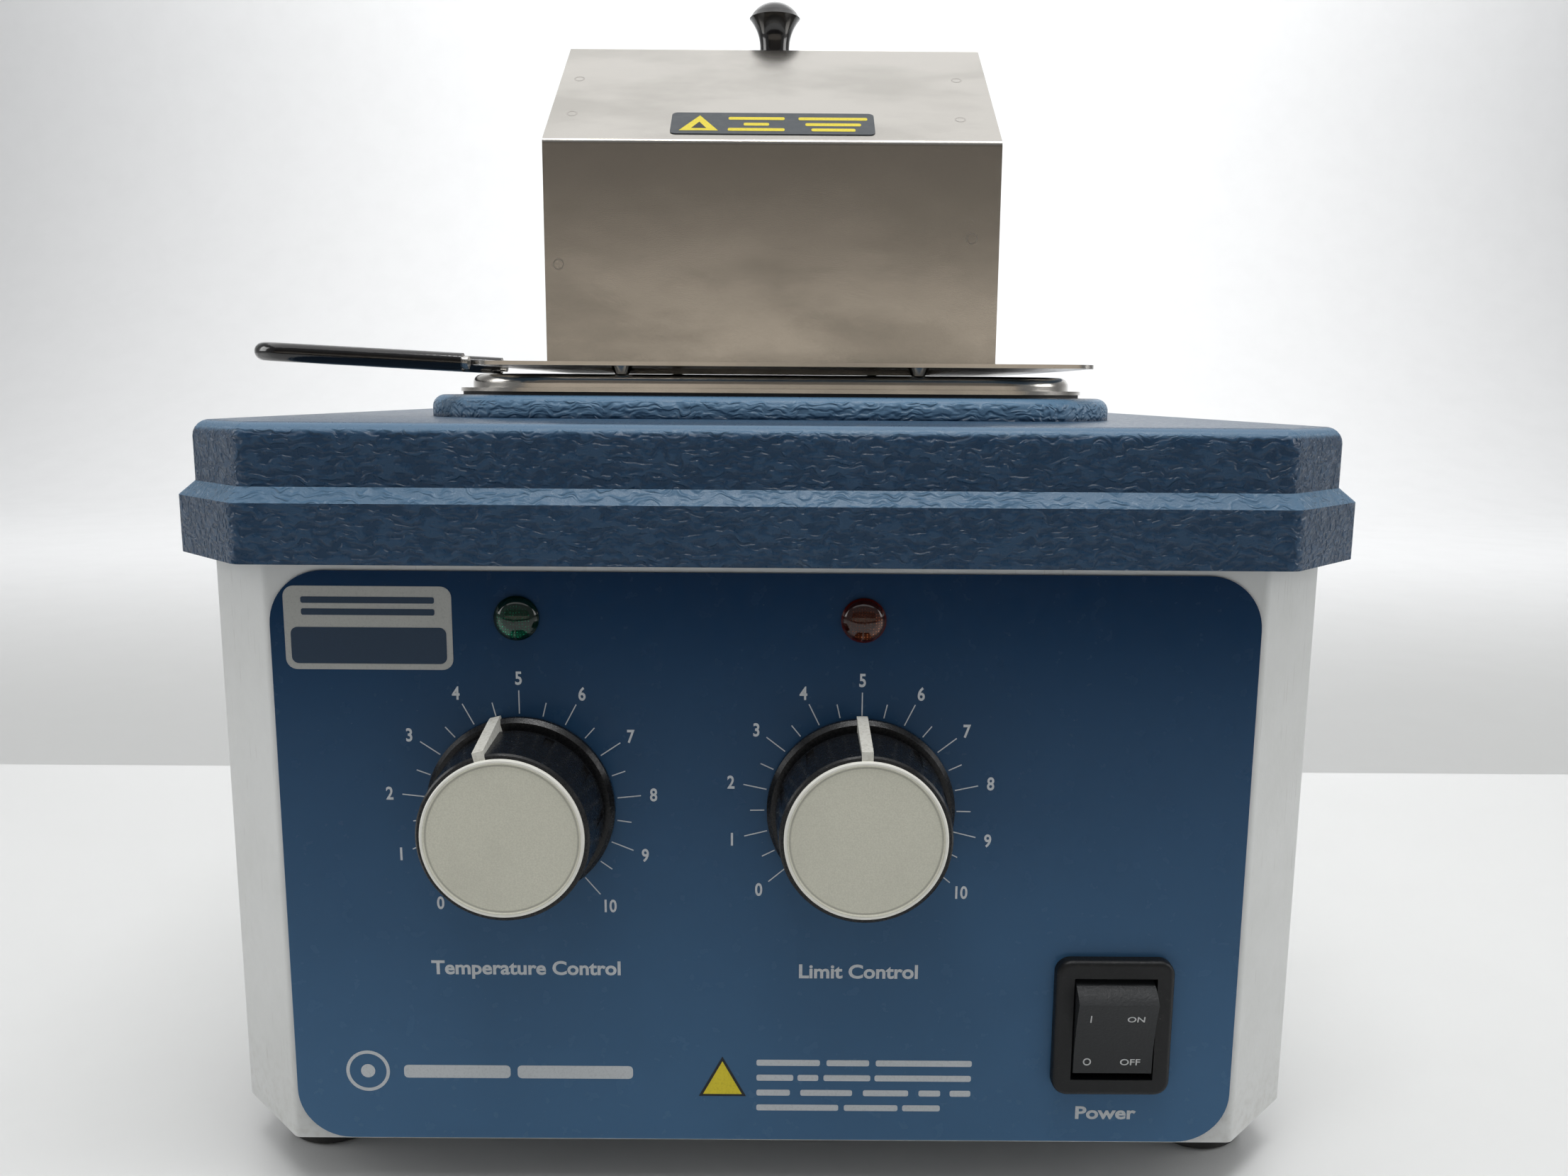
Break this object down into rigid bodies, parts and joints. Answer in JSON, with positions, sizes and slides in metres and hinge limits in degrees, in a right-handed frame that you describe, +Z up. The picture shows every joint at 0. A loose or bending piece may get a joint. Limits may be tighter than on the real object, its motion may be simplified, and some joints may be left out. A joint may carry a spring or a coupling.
{
  "type": "laboratory heating bath",
  "caption": "Compact benchtop heating bath with a drawn steel well, moulded top, dial thermostats, rocker switch, handled cover plate and gabled steel cover.",
  "frame": {"origin": "centre of the footprint, on the surface the feet stand on", "axes": "+X to the user's right, +Y to the back, +Z up; the control panel faces -Y"},
  "size_m": [0.2454, 0.286, 0.279],
  "materials": {
    "case_paint": "light grey satin enamel on sheet steel",
    "pan_zinc": "zinc-plated sheet steel",
    "blue_moulding": "navy structural foam with a leather grain",
    "overlay_film": "satin navy graphic film",
    "foot_rubber": "dark rubber",
    "stainless": "brushed stainless sheet",
    "bright_steel": "plated steel fasteners and shafts",
    "silicone": "silicone sealing ring",
    "mica": "mica-clad element",
    "clamp_aluminium": "rolled aluminium",
    "glass_fibre": "glass-fibre blanket",
    "stat_case": "brown phenolic",
    "copper": "bright copper tube",
    "terminal_brass": "plated brass tags and pins",
    "lens_green": "clear green plastic lens",
    "lens_red": "clear orange-red plastic lens",
    "lamp_glass": "neon lamp",
    "black_moulding": "black moulded plastic",
    "cap_grey": "warm grey moulded cap",
    "pointer_ivory": "ivory moulded pointer",
    "wire_cover": "silicone-covered wire",
    "vinyl": "dipped black vinyl",
    "phenolic": "polished black phenolic",
    "label_film": "dark printed label"
  },
  "bodies": {
    "chassis": {"case_shell": "case_paint", "front_overlay": "overlay_film", "base_pan": "pan_zinc", "pan_screws": "bright_steel", "rubber_feet": "foot_rubber", "foot_screws": "bright_steel", "foot_nuts": "bright_steel", "moulded_top": "blue_moulding", "top_brackets": "pan_zinc", "top_screws": "bright_steel", "steel_well": "stainless", "rim_gasket": "silicone", "heater_element": "mica", "heater_clamp": "clamp_aluminium", "heater_studs": "bright_steel", "heater_nuts": "bright_steel", "well_insulation": "glass_fibre", "base_insulation": "glass_fibre", "temperature_thermostat": "stat_case", "limit_thermostat": "stat_case", "bushing_nuts": "bright_steel", "sensing_bulbs": "copper", "bulb_clips": "bright_steel", "capillary_tubes": "copper", "heat_pilot_lens": "lens_green", "limit_pilot_lens": "lens_red", "pilot_holders": "black_moulding", "neon_lamps": "lamp_glass", "switch_housing": "black_moulding", "switch_terminals": "terminal_brass", "power_inlet": "black_moulding", "inlet_pins": "terminal_brass", "inlet_screws": "bright_steel", "supply_wires": "wire_cover", "control_wires": "wire_cover", "terminal_block": "stat_case", "earth_stud": "bright_steel"},
    "plate": {"cover_plate": "stainless", "handle_rod": "bright_steel", "handle_grip": "vinyl"},
    "cover": {"cover_wrap": "stainless", "cover_end_left": "stainless", "cover_end_right": "stainless", "cover_knob": "phenolic", "cover_washer": "bright_steel", "cover_screw": "bright_steel", "caution_label": "label_film"},
    "temperature_dial": {"temperature_knob": "black_moulding", "temperature_knob_cap": "cap_grey", "temperature_pointer": "pointer_ivory", "temperature_shaft": "bright_steel"},
    "limit_dial": {"limit_knob": "black_moulding", "limit_knob_cap": "cap_grey", "limit_pointer": "pointer_ivory", "limit_shaft": "bright_steel"},
    "power_rocker": {"rocker": "black_moulding"}
  },
  "joints": [
    {"name": "plate_lift", "type": "slide", "parent": "chassis", "child": "plate", "axis": [0, 0, 1], "range_m": [0, 0.12]},
    {"name": "cover_lift", "type": "slide", "parent": "plate", "child": "cover", "axis": [0, 0, 1], "range_m": [0, 0.12]},
    {"name": "temperature_turn", "type": "hinge", "parent": "chassis", "child": "temperature_dial", "pos_m": [-0.0496, -0.124, 0.0856], "axis": [0, -1, 0], "range_deg": [-154, 126]},
    {"name": "limit_turn", "type": "hinge", "parent": "chassis", "child": "limit_dial", "pos_m": [0.0194, -0.124, 0.0856], "axis": [0, -1, 0], "range_deg": [-130, 130]},
    {"name": "power_rock", "type": "hinge", "parent": "chassis", "child": "power_rocker", "pos_m": [0.0728, -0.122, 0.0389], "axis": [-1, 0, 0], "range_deg": [0, 20]}
  ]
}
